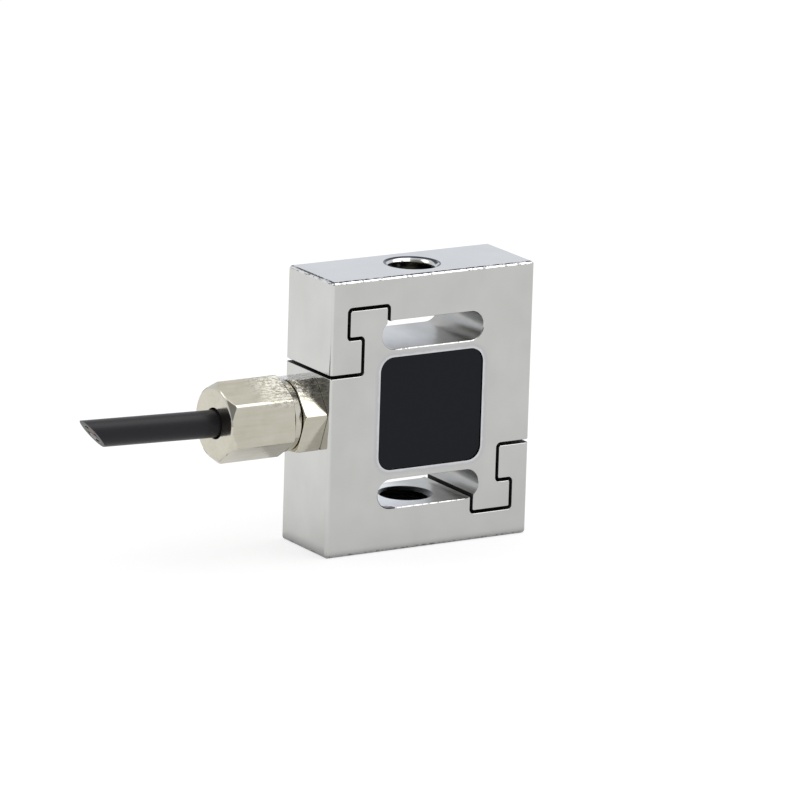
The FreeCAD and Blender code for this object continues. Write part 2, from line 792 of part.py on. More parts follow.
def make_lead(label, side, wall, offset):
    """A fine wire from a pad on the board to a gauge's tab, with one bend."""
    body = make_body(label, z="block_height / 2")
    height = "lead_outer" if side > 0 else "lead_inner"
    start_y, start_z = f"{offset} * tab_offset", f"{wall} * {height}"
    tab_x = f"({side} * gauge_centre + {TAB_CENTRE})"
    tab_height = f"({INNER_HEIGHT} / 2 - gauge_backing - grid_thickness)"
    spine = make_sketch(body, "route", "XZ_Plane", shift=f"-({start_y})")
    draw_run(spine, BOARD_FACE, start_z, [
        ("line", f"{BOARD_FACE} - {tab_x} - lead_bend"),
        ("arc", "lead_bend", "90", -wall),
        ("line", f"{tab_height} - {height} - lead_bend"),
    ])
    section = make_sketch(body, "section", "YZ_Plane", shift=BOARD_FACE)
    draw_circle(section, "lead_diameter", start_y, start_z)
    pipe(body, "AdditivePipe", "wire", section, spine)
    return body


def make_coating(label, side, wall, covered):
    """A soft pad that covers a gauge and the ends of its leads, and takes their shape inside."""
    body = doc.addObject("PartDesign::Body", f"{label}_blank")
    turn = FreeCAD.Rotation(FreeCAD.Vector(1, 0, 0), 0 if wall < 0 else 180)
    body.Placement = FreeCAD.Placement(FreeCAD.Vector(), turn)
    bind(body, "Placement.Base.x", f"{side} * gauge_centre")
    bind(body, "Placement.Base.z", f"block_height / 2 + {wall} * {INNER_HEIGHT} / 2")
    outline = make_sketch(body, "coat_outline", "XY_Plane")
    draw_box(outline, "0", "0", "(gauge_length + 2 * coat_margin)",
             "(gauge_width + 2 * coat_margin)")
    coat = pad(body, "coat", outline, "coat_thickness")
    soften(body, "Fillet", "coat_edge", coat, "coat_round",
           lambda edge: max(v.Z for v in edge.Vertexes) > 1e-4)
    inside = doc.addObject("Part::MultiFuse", f"{label}_inside")
    inside.Shapes = covered
    coating = doc.addObject("Part::Cut", label)
    coating.Label = label
    coating.Base = body
    coating.Tool = inside
    parts.append(coating)
    doc.recompute()


def make_gauges():
    """Four gauges, each with two leads and a coating, at the thin webs beside the slots."""
    for wall_name, wall in GAUGE_WALLS.items():
        for side_name, side in GAUGE_SIDES.items():
            label = f"{wall_name}_{side_name}"
            gauge = make_gauge(f"{label}_gauge", side, wall)
            front = make_lead(f"{label}_lead_front", side, wall, -1)
            rear = make_lead(f"{label}_lead_rear", side, wall, 1)
            make_coating(f"{label}_coating", side, wall, [gauge, front, rear])


# ---------------------------------------------------------------- the whole load cell

def check_document():
    """Stops if any object failed to rebuild, or if a piece isn't a single sound solid."""
    for item in doc.Objects:
        if "Invalid" in item.State or "Error" in item.State:
            raise RuntimeError(f"{item.Name} failed: {item.State}")
    for part in parts:
        shape = part.Shape
        if shape.isNull() or not shape.isValid():
            raise RuntimeError(f"{part.Label} has no valid shape")
        if len(shape.Solids) != 1:
            raise RuntimeError(f"{part.Label} has {len(shape.Solids)} solids")


make_block()
make_cover("front_cover", "0")
make_cover("rear_cover", "180")
make_gland_body()
make_gland_nut()
make_gland_inner()
make_cable()
make_board()
make_chip("span_resistor_upper", "-chip_offset", "chip_spread")
make_chip("span_resistor_lower", "-chip_offset", "-chip_spread")
make_chip("balance_resistor", "chip_offset", "0")
make_gauges()
doc.recompute()
check_document()

os.makedirs("parts", exist_ok=True)
for part in parts:
    part.Shape.exportStep(f"parts/{part.Label}.step")
    print(f"{part.Label}: {part.Shape.Volume:.2f} cubic millimetres")
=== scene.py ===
import json
import math

import bmesh
import bpy
from mathutils import Matrix, Vector


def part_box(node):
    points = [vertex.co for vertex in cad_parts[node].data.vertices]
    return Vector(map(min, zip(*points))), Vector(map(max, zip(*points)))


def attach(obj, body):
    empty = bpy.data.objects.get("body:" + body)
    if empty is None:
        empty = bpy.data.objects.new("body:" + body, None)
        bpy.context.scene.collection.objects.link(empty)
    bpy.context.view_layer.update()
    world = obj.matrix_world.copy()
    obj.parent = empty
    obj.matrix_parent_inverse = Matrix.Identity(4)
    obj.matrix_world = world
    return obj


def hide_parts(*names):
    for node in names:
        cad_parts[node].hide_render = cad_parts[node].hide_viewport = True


# Looks of the miniature S type load cell. Metres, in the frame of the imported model: +Z is the
# load axis, -Y the front, and the cable leaves along -X.

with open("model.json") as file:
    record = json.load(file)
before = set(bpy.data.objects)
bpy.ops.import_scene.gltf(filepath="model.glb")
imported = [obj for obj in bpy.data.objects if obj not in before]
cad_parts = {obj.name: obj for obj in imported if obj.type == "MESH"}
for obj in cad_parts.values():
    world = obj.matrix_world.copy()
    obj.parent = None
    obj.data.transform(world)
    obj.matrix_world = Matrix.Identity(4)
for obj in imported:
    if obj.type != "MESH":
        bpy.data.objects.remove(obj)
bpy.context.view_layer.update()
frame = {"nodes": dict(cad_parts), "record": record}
NODES = frame["nodes"]
MM = 0.001

BLOCK_LOW, BLOCK_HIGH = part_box("s_beam_body")
BLOCK_CENTRE = (BLOCK_LOW + BLOCK_HIGH) / 2
COVER_LOW, COVER_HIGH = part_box("front_cover")
NUT_LOW, NUT_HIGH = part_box("gland_nut")
GLAND_AXIS = (NUT_LOW.z + NUT_HIGH.z) / 2

# camera: a long lens, to the left of the front and above it; angles in degrees
CAMERA_YAW = 31.76
CAMERA_PITCH = 14.31
CAMERA_ROLL = 1.75
CAMERA_DISTANCE = 778.2 * MM
CAMERA_RIGHT = 0.847 * MM
CAMERA_UP = 0.02 * MM
LENS = 323.4
SENSOR = 36.0
CLIP_NEAR = 0.01
CLIP_FAR = 20.0

# M6 x 1 loading threads: outer radius of the groove, radius of the bore, half the groove's
# narrow flat, and how far the groove's cutter reaches into the bore
THREAD_PITCH = 1.0 * MM
THREAD_MAJOR = 3.0 * MM
THREAD_MINOR = 2.5 * MM
THREAD_ROOT = 0.06 * MM
THREAD_FLANK = math.radians(30)
THREAD_REACH = 0.08 * MM
THREAD_DEPTH = 4.8 * MM
THREAD_STEPS = 48

# wire-cut slots, measured from the block's centre, and a dark patch in the lower one
SLOT_HEIGHT = 3.25 * MM
SLOT_LENGTH = 12.8 * MM
SLOT_REACH = (SLOT_LENGTH - SLOT_HEIGHT) / 2
SLOT_RISE = 8.825 * MM
DARK_PATCH = BLOCK_CENTRE + Vector((-5.1, -4.7, -10.4)) * MM
DARK_PATCH_SIZE = 0.85 * MM
DARK_PATCH_FADE = 0.2 * MM

# overload slit: the upper one's middle line (x, z) about the block's centre, from the left side
# round the hook into the slot; the lower one is the same, turned half a turn
SLIT_WIDTH = 0.4 * MM
SLIT_ROUTE = [(x * MM, z * MM) for x, z in (
    (-12.7, 4.83), (-8.73, 4.83), (-8.73, 8.85), (-10.56, 8.85),
    (-10.56, 12.1), (-5.58, 12.1), (-5.58, 8.825))]

# gauge window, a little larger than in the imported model, as the photograph shows it
WINDOW_ROUND = 1.6 * MM
WINDOW_LOW = Vector((COVER_LOW.x - 0.05 * MM, 0, COVER_LOW.z))
WINDOW_HIGH = Vector((COVER_HIGH.x + 0.10 * MM, 0, COVER_HIGH.z + 0.14 * MM))
WINDOW_CENTRE = (WINDOW_LOW + WINDOW_HIGH) / 2
WINDOW_HALF = (WINDOW_HIGH - WINDOW_LOW) / 2
SEAT_DEPTH = 0.75 * MM
COVER_GAP = 0.04 * MM

# shallow dish in which the polished faces fall away to the window
ROLL_WIDTH = 0.75 * MM
ROLL_DEPTH = 0.03 * MM
ROLL_STEPS = 7
ROLL_LIP = 0.01 * MM
ROLL_START = 0.0004 * MM
CUTTER_PROUD = 0.2 * MM

# clean-up of the meshes; angles in degrees
MERGE_WITHIN = 0.0005 * MM
JOIN_ANGLE = 0.3
SEAM_JOIN_ANGLE = 0.5
SEAM_WITHIN = 0.001 * MM
BLOCK_SHARP_ANGLE = 35
GLAND_SHARP_ANGLE = 25
BLOCK_SMOOTH_ANGLE = 20
SMOOTH_ANGLE = 30
NEAR = 0.012 * MM

# what tells the block's faces apart: sizes of a unit normal's parts, and lengths
UPRIGHT = 0.2
UPPER_STRIP = 0.78
FACING = 0.95
LEVEL = 0.995
TOP_BEVEL = 0.25 * MM
ROLL_SHALLOWEST = 0.02 * ROLL_DEPTH
ROLL_DEEPEST = 1.2 * ROLL_DEPTH
ROLL_SPARE = 0.2 * MM

# widths of the broken edges
BLOCK_EDGE = 0.03 * MM
SLOT_EDGE = 0.08 * MM
TOP_EDGE = 0.12 * MM
MOUTH_EDGE = 0.18 * MM
GLAND_EDGE = 0.09 * MM
NUT_FACE_EDGE = 0.18 * MM

# studio: the floor, and how the metal mirrors it, with painted shade in front and a painted
# shadow at the block's foot
FLOOR_HALF = 3.0
FLOOR_GAP = 0.01 * MM
FLOOR_PALE = (0.8, 0.8, 0.8, 1)
FLOOR_SHADED = (0.42, 0.42, 0.42, 1)
FLOOR_GLOW = 0.70
FLOOR_SLOPE = (0.9, -0.44, 0)
PAINTED_FRONT_SHADE = 0.75
FLOOR_FADE = 0.025
PAINTED_FOOT_SHADOW = 0.25
FOOT_LEVEL = 0.85
FOOT_REACH = 0.0025
FOOT_FADE = 0.03

# studio: the room's light, its sky from low to high, and a dark corner that the metal mirrors
WHITE = (1, 1, 1, 1)
ROOM_LEVEL = 0.55
SKY_LOW = (0.91, 0.945, 1.01)
SKY_HIGH = (0.88, 0.88, 0.87)
SKY_LOW_UNTIL = 0.3
SKY_HIGH_FROM = 0.6
DARK_CORNER = (-0.72, -0.45, 0.53)
DARK_LEVEL = 0.3
DARK_INNER = math.cos(math.radians(30))
DARK_OUTER = math.cos(math.radians(48))
LAMP_AIM = Vector((0, 0, 0.015))


# ---------------------------------------------------------------- camera

def place_camera():
    """Sets the camera to the photograph's angle and framing."""
    yaw, pitch, roll = (math.radians(a) for a in (CAMERA_YAW, CAMERA_PITCH, CAMERA_ROLL))
    back = Vector((-math.sin(yaw) * math.cos(pitch),
                   -math.cos(yaw) * math.cos(pitch),
                   math.sin(pitch)))
    level_right = (-back).cross(Vector((0, 0, 1))).normalized()
    level_up = level_right.cross(-back)
    right = level_right * math.cos(roll) + level_up * math.sin(roll)
    up = level_up * math.cos(roll) - level_right * math.sin(roll)
    eye = BLOCK_CENTRE - right * CAMERA_RIGHT - up * CAMERA_UP + back * CAMERA_DISTANCE
    data = bpy.data.cameras.new("camera")
    data.lens = LENS
    data.sensor_width = SENSOR
    data.clip_start = CLIP_NEAR
    data.clip_end = CLIP_FAR
    camera = bpy.data.objects.new("camera", data)
    turn = Matrix((right, up, back)).transposed().to_4x4()
    camera.matrix_world = Matrix.Translation(eye) @ turn
    bpy.context.scene.collection.objects.link(camera)
    bpy.context.scene.camera = camera


# ---------------------------------------------------------------- mesh helpers

def new_object(name, mesh):
    """Puts a mesh into the scene."""
    item = bpy.data.objects.new(name, mesh)
    bpy.context.scene.collection.objects.link(item)
    return item


def applied(item):
    """Bakes the object's modifiers into its mesh."""
    graph = bpy.context.evaluated_depsgraph_get()
    mesh = bpy.data.meshes.new_from_object(item.evaluated_get(graph))
    item.modifiers.clear()
    item.data = mesh


def node_copy(node, name):
    """A copy of a CAD node's mesh with its facets joined into clean faces."""
    shape = bmesh.new()
    shape.from_mesh(NODES[node].data)
    bmesh.ops.remove_doubles(shape, verts=shape.verts, dist=MERGE_WITHIN)
    bmesh.ops.dissolve_limit(shape, angle_limit=math.radians(JOIN_ANGLE),
                             verts=shape.verts, edges=shape.edges)
    mesh = bpy.data.meshes.new(name)
    shape.to_mesh(mesh)
    shape.free()
    mesh.materials.clear()
    return new_object(name, mesh)


def cut(item, cutter):
    """Takes the cutter's volume out of the object."""
    boolean = item.modifiers.new("cut", "BOOLEAN")
    boolean.operation = "DIFFERENCE"
    boolean.solver = "EXACT"
    boolean.object = cutter
    applied(item)
    bpy.data.objects.remove(cutter)


def break_edges(item, width_of, angle, segments=1):
    """Breaks each edge sharper than the angle, as wide as width_of says for its middle.

    The widths are weights of one bevel. Its clamp is off, because it would shrink them all
    to fit the shortest edge.
    """
    shape = bmesh.new()
    shape.from_mesh(item.data)
    share = shape.edges.layers.float.new("bevel_weight_edge")
    sharp = [edge for edge in shape.edges
             if len(edge.link_faces) == 2 and edge.calc_face_angle() > math.radians(angle)]
    widths = [width_of((edge.verts[0].co + edge.verts[1].co) / 2) for edge in sharp]
    for edge, width in zip(sharp, widths):
        edge[share] = width / max(widths)
    shape.to_mesh(item.data)
    shape.free()
    bevel = item.modifiers.new("edges", "BEVEL")
    bevel.width = max(widths)
    bevel.segments = segments
    bevel.limit_method = "WEIGHT"
    bevel.use_clamp_overlap = False
    applied(item)


def smooth(item, angle=SMOOTH_ANGLE):
    """Smooth shading that keeps flat faces flat."""
    mesh = item.data
    mesh.polygons.foreach_set("use_smooth", [True] * len(mesh.polygons))
    mesh.set_sharp_from_angle(angle=math.radians(angle))
    weighted = item.modifiers.new("normals", "WEIGHTED_NORMAL")
    weighted.keep_sharp = True
    weighted.weight = 100
    applied(item)


def loft(name, rings):
    """A closed mesh through rings of equal count, capped at both ends."""
    shape = bmesh.new()
    loops = [[shape.verts.new(place) for place in ring] for ring in rings]
    count = len(loops[0])
    for lower, upper in zip(loops, loops[1:]):
        for i in range(count):
            j = (i + 1) % count
            shape.faces.new((lower[i], lower[j], upper[j], upper[i]))
    shape.faces.new(loops[0][::-1])
    shape.faces.new(loops[-1])
    bmesh.ops.recalc_face_normals(shape, faces=shape.faces)
    mesh = bpy.data.meshes.new(name)
    shape.to_mesh(mesh)
    shape.free()
    return new_object(name, mesh)


def rounded_ring(half_x, half_z, radius, y, arc_steps=12):
    """Points of a rounded rectangle about the window's centre, in the plane y."""
    places = []
    for quarter, (sx, sz) in enumerate(((1, 1), (-1, 1), (-1, -1), (1, -1))):
        for step in range(arc_steps + 1):
            turn = math.pi / 2 * (quarter + step / arc_steps)
            places.append(Vector((
                WINDOW_CENTRE.x + sx * (half_x - radius) + radius * math.cos(turn),
                y,
                WINDOW_CENTRE.z + sz * (half_z - radius) + radius * math.sin(turn))))
    return places


def hand_over(item, node):
    """Hides the CAD node and puts the detailed piece on the root body in its place."""
    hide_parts(node)
    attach(item, "root")


# ---------------------------------------------------------------- block

def distance_to_route(place, route):
    """Distance in the wide face's plane from a place (x, z) to a line of points."""
    nearest = 1.0
    for start, end in zip(route, route[1:]):
        start, end = Vector(start), Vector(end)
        run = end - start
        share = max(0.0, min(1.0, (place - start).dot(run) / run.length_squared))
        nearest = min(nearest, (place - start - run * share).length)
    return nearest


def from_slot(place):
    """Distance of a place about the block's centre from the middle line of its slot."""
    rise = math.copysign(SLOT_RISE, place.z)
    middle_line = [(-SLOT_REACH, rise), (SLOT_REACH, rise)]
    return distance_to_route(Vector((place.x, place.z)), middle_line)


def from_slit(place):
    """Distance of a place about the block's centre from the middle line of its slit."""
    side = math.copysign(1, place.z)
    return distance_to_route(Vector((place.x, place.z)) * side, SLIT_ROUTE)


def block_edge(middle):
    """How wide an edge of the block is broken."""
    place = middle - BLOCK_CENTRE
    half = (BLOCK_HIGH - BLOCK_LOW) / 2
    at_bore = math.hypot(place.x, place.y) < THREAD_MAJOR
    if abs(place.z) > half.z - NEAR:
        return MOUTH_EDGE if at_bore else TOP_EDGE
    on_rim = abs(from_slot(place) - SLOT_HEIGHT / 2) < NEAR
    below = abs(place.y) > half.y - NEAR and (abs(place.z) - SLOT_RISE) * place.z < 0
    at_slit_end = place.x * place.z < 0 and abs(place.x) > SLOT_REACH - NEAR
    if on_rim and not at_slit_end and (below or at_bore):
        return SLOT_EDGE
    return BLOCK_EDGE


def block_finish(centre, normal):
    """The finish of a face of the block, from its place about the block's centre."""
    half = (BLOCK_HIGH - BLOCK_LOW) / 2
    slot = from_slot(centre)
    tilted = UPRIGHT < abs(normal.z) < LEVEL
    at_bore = math.hypot(centre.x, centre.y) < THREAD_MAJOR + MOUTH_EDGE
    if tilted and abs(centre.z) > half.z - TOP_BEVEL - NEAR:
        if abs(normal.z) > UPPER_STRIP:
            # the upper strip of the top edge's bevel gets a painted dark line
            return "mouth" if at_bore else "painted_edge_line"
        return "polish" if at_bore else "rim"
    if at_bore and SLOT_RISE + SLOT_HEIGHT / 2 < abs(centre.z) < half.z - 2 * TOP_BEVEL:
        return "thread"
    if abs(normal.y) < UPRIGHT:
        if from_slit(centre) < SLIT_WIDTH / 2 + NEAR and slot > SLOT_HEIGHT / 2:
            return "slit"
        if slot < SLOT_HEIGHT / 2 + SLOT_EDGE:
            return "slot"
    elif abs(normal.y) < FACING and slot < SLOT_HEIGHT / 2 + SLOT_EDGE:
        return "rim"
    beside = max(abs(centre.x) - WINDOW_HALF.x, abs(centre.z) - WINDOW_HALF.z)
    sunk = half.y - abs(centre.y)
    if ROLL_SHALLOWEST < sunk < ROLL_DEEPEST and beside < ROLL_WIDTH + ROLL_SPARE:
        return "roll"
    return "polish"


def thread_cutter(name, start_z, direction):
    """The helical groove of a loading thread, from outside the face into the slot."""
    turns = THREAD_DEPTH / THREAD_PITCH + 2
    inner = THREAD_MINOR - THREAD_REACH
    inner_half = THREAD_ROOT + (THREAD_MAJOR - inner) * math.tan(THREAD_FLANK)
    profile = ((inner, -inner_half), (THREAD_MAJOR, -THREAD_ROOT),
               (THREAD_MAJOR, THREAD_ROOT), (inner, inner_half))
    rings = []
    for step in range(int(turns * THREAD_STEPS) + 1):
        turned = step / THREAD_STEPS
        angle = -direction * 2 * math.pi * turned
        rise = start_z + direction * THREAD_PITCH * (1 - turned)
        rings.append([Vector((radius * math.cos(angle), radius * math.sin(angle), rise + height))
                      for radius, height in profile])
    return loft(name, rings)


def roll_cutter(name, face_y, outward):
    """A shallow dish whose rim blends into the face and whose middle is the window."""
    half_x = WINDOW_HALF.x + COVER_GAP
    half_z = WINDOW_HALF.z + COVER_GAP
    rings = [rounded_ring(half_x + ROLL_WIDTH, half_z + ROLL_WIDTH, WINDOW_ROUND + ROLL_WIDTH,
                          face_y + outward * CUTTER_PROUD)]
    for step in range(ROLL_STEPS + 1):
        share = 1 - step / ROLL_STEPS
        grow = ROLL_WIDTH * share - ROLL_LIP * (1 - share)
        depth = ROLL_DEPTH * (1 - share) ** 2 - ROLL_START
        rings.append(rounded_ring(half_x + grow, half_z + grow, WINDOW_ROUND + grow,
                                  face_y - outward * depth))
    rings.append(rounded_ring(half_x, half_z, WINDOW_ROUND, face_y - outward * SEAT_DEPTH))
    return loft(name, rings)


def split_at_mid_width(item):
    """Splits the faces at mid-width, through the holes, so that no seam runs to a corner."""
    shape = bmesh.new()
    shape.from_mesh(item.data)
    bmesh.ops.bisect_plane(shape, geom=shape.verts[:] + shape.edges[:] + shape.faces[:],
                           plane_co=BLOCK_CENTRE, plane_no=(1, 0, 0))
    others = [edge for edge in shape.edges
              if any(abs(vertex.co.x - BLOCK_CENTRE.x) > SEAM_WITHIN for vertex in edge.verts)]
    bmesh.ops.dissolve_limit(shape, angle_limit=math.radians(SEAM_JOIN_ANGLE),
                             verts=shape.verts[:], edges=others)
    shape.to_mesh(item.data)
    shape.free()


def flatten_sides(item):
    """Puts each vertex that is nearly on a side of the block exactly on it."""
    for vertex in item.data.vertices:
        for corner in (BLOCK_LOW, BLOCK_HIGH):
            for axis in range(3):
                if abs(vertex.co[axis] - corner[axis]) < NEAR:
                    vertex.co[axis] = corner[axis]


def make_block():
    """The block with broken edges, dished windows and threads, and a finish for each face."""
    block = node_copy("s_beam_body", "s_beam_body_detail")
    split_at_mid_width(block)
    break_edges(block, block_edge, BLOCK_SHARP_ANGLE)
    flatten_sides(block)
    cut(block, roll_cutter("front_roll", BLOCK_LOW.y, -1))
    cut(block, roll_cutter("rear_roll", BLOCK_HIGH.y, 1))
    cut(block, thread_cutter("top_thread", BLOCK_HIGH.z, 1))
    cut(block, thread_cutter("bottom_thread", BLOCK_LOW.z, -1))
    smooth(block, BLOCK_SMOOTH_ANGLE)
    for material in BLOCK_FINISHES.values():
        block.data.materials.append(material)
    order = list(BLOCK_FINISHES)
    for face in block.data.polygons:
        finish = block_finish(face.center - BLOCK_CENTRE, face.normal)
        face.material_index = order.index(finish)
    hand_over(block, "s_beam_body")


# ---------------------------------------------------------------- gland, cable and covers

def gland_edge(middle):
    """How wide an edge of the gland is broken: most round the nut's open face."""
    if middle.x < NUT_LOW.x + NEAR:
        return NUT_FACE_EDGE
    return GLAND_EDGE


def make_gland_piece(node, segments):
    """A piece of the gland with broken edges."""
    item = node_copy(node, f"{node}_detail")
    break_edges(item, gland_edge, GLAND_SHARP_ANGLE, segments)
    smooth(item)
    hand_over(item, node)


def make_jacket():
    """The cable's jacket, with clean smooth faces."""
    item = node_copy("cable_jacket", "cable_jacket_detail")
    smooth(item)
    hand_over(item, "cable_jacket")


def make_cover(node):
    """The cover, grown to the window that the photograph shows."""
    item = node_copy(node, f"{node}_detail")
    low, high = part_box(node)
    middle = (low + high) / 2
    growth_x = (WINDOW_HIGH.x - WINDOW_LOW.x) / (high.x - low.x)
    growth_z = (WINDOW_HIGH.z - WINDOW_LOW.z) / (high.z - low.z)
    for vertex in item.data.vertices:
        vertex.co.x = WINDOW_CENTRE.x + (vertex.co.x - middle.x) * growth_x
        vertex.co.z = WINDOW_CENTRE.z + (vertex.co.z - middle.z) * growth_z
    smooth(item)
    hand_over(item, node)


# ---------------------------------------------------------------- material helpers

def new_material(name, colour, roughness, metallic=0.0, **sockets):
    """A Principled material; returns it with its tree and its shader."""
    material = bpy.data.materials.new(name)
    material.use_nodes = True
    tree = material.node_tree
    shader = tree.nodes["Principled BSDF"]
    shader.inputs["Base Color"].default_value = (*colour, 1)
    shader.inputs["Roughness"].default_value = roughness
    shader.inputs["Metallic"].default_value = metallic
    for socket, setting in sockets.items():
        shader.inputs[socket.replace("_", " ")].default_value = setting
    return material, tree, shader


def add(tree, kind, settings=(), **inputs):
    """A node with its settings, and its inputs set or linked: Some_Name by name, _2 by number."""
    node = tree.nodes.new(kind)
    for key, setting in dict(settings).items():
        setattr(node, key, setting)
    for key, given in inputs.items():
        which = int(key[1:]) if key[0] == "_" else key.replace("_", " ")
        socket = node.inputs[which]
        if isinstance(given, bpy.types.NodeSocket):
            tree.links.new(given, socket)
        else:
            socket.default_value = given
    return node


def millimetres(tree, stretch=(1, 1, 1)):
    """The piece's own coordinates in millimetres, stretched for grain."""
    coordinates = add(tree, "ShaderNodeTexCoord")
    mapping = add(tree, "ShaderNodeMapping", Vector=coordinates.outputs["Object"],
                  Scale=[s / MM for s in stretch])
    return mapping.outputs["Vector"]


def noise(tree, place, scale, detail=3.0, rough=0.5):
    """Smooth noise from 0 to 1."""
    node = add(tree, "ShaderNodeTexNoise", Vector=place, Scale=scale, Detail=detail,
               Roughness=rough)
    return node.outputs["Fac"]


def spread(tree, amount, low, high, start=0.0, end=1.0):
    """Maps a value from start..end to low..high."""
    node = add(tree, "ShaderNodeMapRange", Value=amount, From_Min=start, From_Max=end,
               To_Min=low, To_Max=high)
    return node.outputs["Result"]


def blend_colours(tree, amount, first, second):
    """Mixes two colours, each given as numbers or as another node's output."""
    node = add(tree, "ShaderNodeMix", {"data_type": "RGBA"}, _0=amount)
    for index, colour in ((6, first), (7, second)):
        if isinstance(colour, bpy.types.NodeSocket):
            tree.links.new(colour, node.inputs[index])
        else:
            node.inputs[index].default_value = (*colour, 1)
    return node.outputs[2]


def calculate(tree, operation, first, second=0.0):
    """The result of one Math node."""
    return add(tree, "ShaderNodeMath", {"operation": operation}, _0=first, _1=second).outputs[0]


def ramp(tree, amount, start, end):
    """Rises from 0 at start to 1 at end."""
    return spread(tree, amount, 0.0, 1.0, start, end)


def axes(tree):
    """The piece's own coordinates in metres, one output for each axis."""
    coordinates = add(tree, "ShaderNodeTexCoord")
    return add(tree, "ShaderNodeSeparateXYZ", Vector=coordinates.outputs["Object"]).outputs


def from_window(tree):
    """How far outside the window's rounded outline: 0 on it, 1 a millimetre away."""
    across = axes(tree)
    beyond = []
    for axis, middle, half in ((across[0], WINDOW_CENTRE.x, WINDOW_HALF.x),
                               (across[2], WINDOW_CENTRE.z, WINDOW_HALF.z)):
        off = calculate(tree, "ABSOLUTE", calculate(tree, "SUBTRACT", axis, middle))
        past_arc = calculate(tree, "SUBTRACT", off, half - WINDOW_ROUND)
        beyond.append(calculate(tree, "MAXIMUM", past_arc))
    squares = [calculate(tree, "MULTIPLY", b, b) for b in beyond]
    corner = calculate(tree, "SQRT", calculate(tree, "ADD", *squares))
    return ramp(tree, corner, WINDOW_ROUND, WINDOW_ROUND + 1 * MM)


def bump(tree, shader, *layers):
    """Adds layers of (height, depth in metres) to the shader's normal."""
    normal = None
    for height, depth in layers:
        node = add(tree, "ShaderNodeBump", Strength=1.0, Distance=depth, Height=height)
        if normal is not None:
            tree.links.new(normal, node.inputs["Normal"])
        normal = node.outputs["Normal"]
    tree.links.new(normal, shader.inputs["Normal"])


# ---------------------------------------------------------------- materials

def polish_colour(tree):
    """The polish's colour, with faint clouds and upright wipe marks."""
    cloud = noise(tree, millimetres(tree), 0.22, 3.0)
    wipe = noise(tree, millimetres(tree, (1, 1, 0.12)), 0.9, 3.0)
    both = calculate(tree, "ADD", calculate(tree, "MULTIPLY", cloud, 0.85),
                     calculate(tree, "MULTIPLY", wipe, 0.15))
    darker, lighter = (0.562, 0.563, 0.546), (0.612, 0.611, 0.597)
    return blend_colours(tree, ramp(tree, both, 0.3, 0.7), darker, lighter)


def polished_nickel():
    """Fine satin nickel plate of the block."""
    material, tree, shader = new_material("nickel_block", (0.60, 0.60, 0.585), 0.12, 1.0)
    tree.links.new(polish_colour(tree), shader.inputs["Base Color"])
    grain = noise(tree, millimetres(tree, (1, 1, 0.08)), 14.0, 2.0)
    waves = noise(tree, millimetres(tree), 0.5, 1.0)
    tree.links.new(spread(tree, grain, 0.09, 0.15), shader.inputs["Roughness"])
    bump(tree, shader, (grain, 0.00004 * MM), (waves, 0.0015 * MM))
    return material


def rolled_nickel():
    """The polish as it falls away round the gauge window, with a painted highlight line at the
    cover and a band of painted shade beyond it.
    """
    material, tree, shader = new_material("nickel_roll", (0.58, 0.58, 0.58), 0.16, 1.0)
    cloud = noise(tree, millimetres(tree), 1.6, 3.0)
    wander = spread(tree, cloud, -0.18, 0.18)
    away = calculate(tree, "ADD", from_window(tree), wander)
    # a painted highlight next to the cover, then a band of painted shade
    painted_highlight_line, painted_shade_band = (0.70, 0.70, 0.73), (0.535, 0.54, 0.55)
    outer = blend_colours(tree, ramp(tree, away, 0.35, 0.8), painted_shade_band, polish_colour(tree))
    tint = blend_colours(tree, ramp(tree, away, 0.1, 0.35), painted_highlight_line, outer)
    tree.links.new(tint, shader.inputs["Base Color"])
    tree.links.new(spread(tree, cloud, 0.12, 0.2), shader.inputs["Roughness"])
    return material


def cut_thread():
    """Thread flanks, dark with painted shade, and olive in patches in the upper bore."""
    material, tree, shader = new_material("cut_thread", (0.12, 0.12, 0.11), 0.3, 1.0)
    upper = calculate(tree, "GREATER_THAN", axes(tree)[2], BLOCK_CENTRE.z)
    cloud = calculate(tree, "MULTIPLY", noise(tree, millimetres(tree), 0.55, 2.0), upper)
    # the dark flanks are painted shade
    painted_shade_flank, olive = (0.06, 0.063, 0.066), (0.34, 0.31, 0.24)
    tint = blend_colours(tree, ramp(tree, cloud, 0.45, 0.62), painted_shade_flank, olive)
    gloss = spread(tree, noise(tree, millimetres(tree), 3.0), 0.24, 0.4)
    tree.links.new(tint, shader.inputs["Base Color"])
    tree.links.new(gloss, shader.inputs["Roughness"])
    return material


def painted_edge_line():
    """The broken line of painted shade where the top face turns over its edge."""
    material, tree, shader = new_material("painted_edge_line", (0.2, 0.2, 0.22), 0.3, 1.0)
    # painted shade in dashes, with bare nickel between them
    dark, bare = (0.04, 0.042, 0.055), (0.5, 0.5, 0.52)
    dashes = ramp(tree, noise(tree, millimetres(tree), 3.2, 2.0), 0.5, 0.6)
    tree.links.new(blend_colours(tree, dashes, dark, bare), shader.inputs["Base Color"])
    tree.links.new(spread(tree, dashes, 0.2, 0.4), shader.inputs["Roughness"])
    return material


def nickel_with_painted_glints():
    """Narrow bevels, a little ragged, with painted glints and patches of painted shade along
    them.
    """
    material, tree, shader = new_material("nickel_rim", (0.66, 0.66, 0.65), 0.14, 1.0)
    rag = noise(tree, millimetres(tree, (2.6, 1, 1)), 1.6, 3.0, 0.6)
    # painted shade and painted glints, in ragged dashes
    dull, bright = (0.25, 0.25, 0.25), (0.76, 0.76, 0.75)
    ragged = blend_colours(tree, ramp(tree, rag, 0.38, 0.5), dull, bright)
    tree.links.new(with_dark_patch(tree, ragged), shader.inputs["Base Color"])
    tree.links.new(spread(tree, rag, 0.1, 0.22), shader.inputs["Roughness"])
    bump(tree, shader, (rag, 0.012 * MM))
    return material


